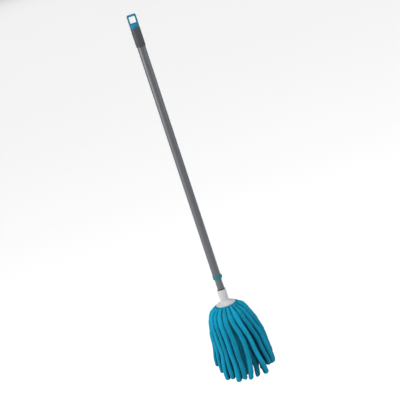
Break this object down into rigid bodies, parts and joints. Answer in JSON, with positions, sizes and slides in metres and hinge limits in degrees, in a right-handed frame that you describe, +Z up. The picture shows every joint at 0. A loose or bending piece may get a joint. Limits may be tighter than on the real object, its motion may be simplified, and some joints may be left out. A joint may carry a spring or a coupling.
{
  "type": "string mop",
  "caption": "String mop with a telescopic steel handle, hanging loop, twist lock collar and a push-on head of thick fabric strands.",
  "frame": {"origin": "middle of the underside of the hanging loop's top bar, the face that rests on a hook", "axes": "+Z up along the handle towards the loop, -Y the front, +X to the right of someone who faces the front"},
  "size_m": [0.1583, 0.1527, 1.0325],
  "materials": {
    "loop_teal": "moulded, semi-gloss",
    "grip_grey": "moulded, satin",
    "tube_paint": "grey coated steel, satin",
    "dark_plastic": "moulded, matte",
    "lock_teal": "moulded, semi-gloss",
    "socket_white": "moulded, semi-gloss",
    "screw_steel": "zinc plated",
    "band_fabric": "sewn hem",
    "strand_fabric": "looped microfibre, ribbed across"
  },
  "bodies": {
    "handle": {"hanging_loop": "loop_teal", "end_grip": "grip_grey", "outer_tube": "tube_paint", "collet_ring": "dark_plastic"},
    "twist_lock": {"lock_collar": "lock_teal"},
    "inner_pole": {"inner_tube": "tube_paint", "guide_plug": "dark_plastic", "end_plug": "dark_plastic"},
    "mop_head": {"head_socket": "socket_white", "outer_band": "band_fabric", "inner_band": "band_fabric", "core_band": "band_fabric", "clamp_plate": "socket_white", "plate_screw_1": "screw_steel", "plate_screw_2": "screw_steel", "plate_screw_3": "screw_steel", "plate_screw_4": "screw_steel", "outer_strand_01": "strand_fabric", "outer_strand_02": "strand_fabric", "outer_strand_03": "strand_fabric", "outer_strand_04": "strand_fabric", "outer_strand_05": "strand_fabric", "outer_strand_06": "strand_fabric", "outer_strand_07": "strand_fabric", "outer_strand_08": "strand_fabric", "outer_strand_09": "strand_fabric", "outer_strand_10": "strand_fabric", "outer_strand_11": "strand_fabric", "outer_strand_12": "strand_fabric", "outer_strand_13": "strand_fabric", "outer_strand_14": "strand_fabric", "outer_strand_15": "strand_fabric", "outer_strand_16": "strand_fabric", "outer_strand_17": "strand_fabric", "outer_strand_18": "strand_fabric", "outer_strand_19": "strand_fabric", "outer_strand_20": "strand_fabric", "outer_strand_21": "strand_fabric", "inner_strand_01": "strand_fabric", "inner_strand_02": "strand_fabric", "inner_strand_03": "strand_fabric", "inner_strand_04": "strand_fabric", "inner_strand_05": "strand_fabric", "inner_strand_06": "strand_fabric", "inner_strand_07": "strand_fabric", "inner_strand_08": "strand_fabric", "inner_strand_09": "strand_fabric", "inner_strand_10": "strand_fabric", "inner_strand_11": "strand_fabric", "inner_strand_12": "strand_fabric", "inner_strand_13": "strand_fabric", "inner_strand_14": "strand_fabric", "inner_strand_15": "strand_fabric", "core_strand_01": "strand_fabric", "core_strand_02": "strand_fabric", "core_strand_03": "strand_fabric", "core_strand_04": "strand_fabric"}
  },
  "joints": [
    {"name": "collar_twist", "type": "hinge", "parent": "handle", "child": "twist_lock", "pos_m": [0, 0, -0.7455], "axis": [0, 0, 1], "range_deg": [0, 90]},
    {"name": "telescope", "type": "slide", "parent": "handle", "child": "inner_pole", "axis": [0, 0, -1], "range_m": [0, 0.5]},
    {"name": "head_pull_off", "type": "slide", "parent": "inner_pole", "child": "mop_head", "axis": [0, 0, -1], "range_m": [0, 0.045]}
  ]
}
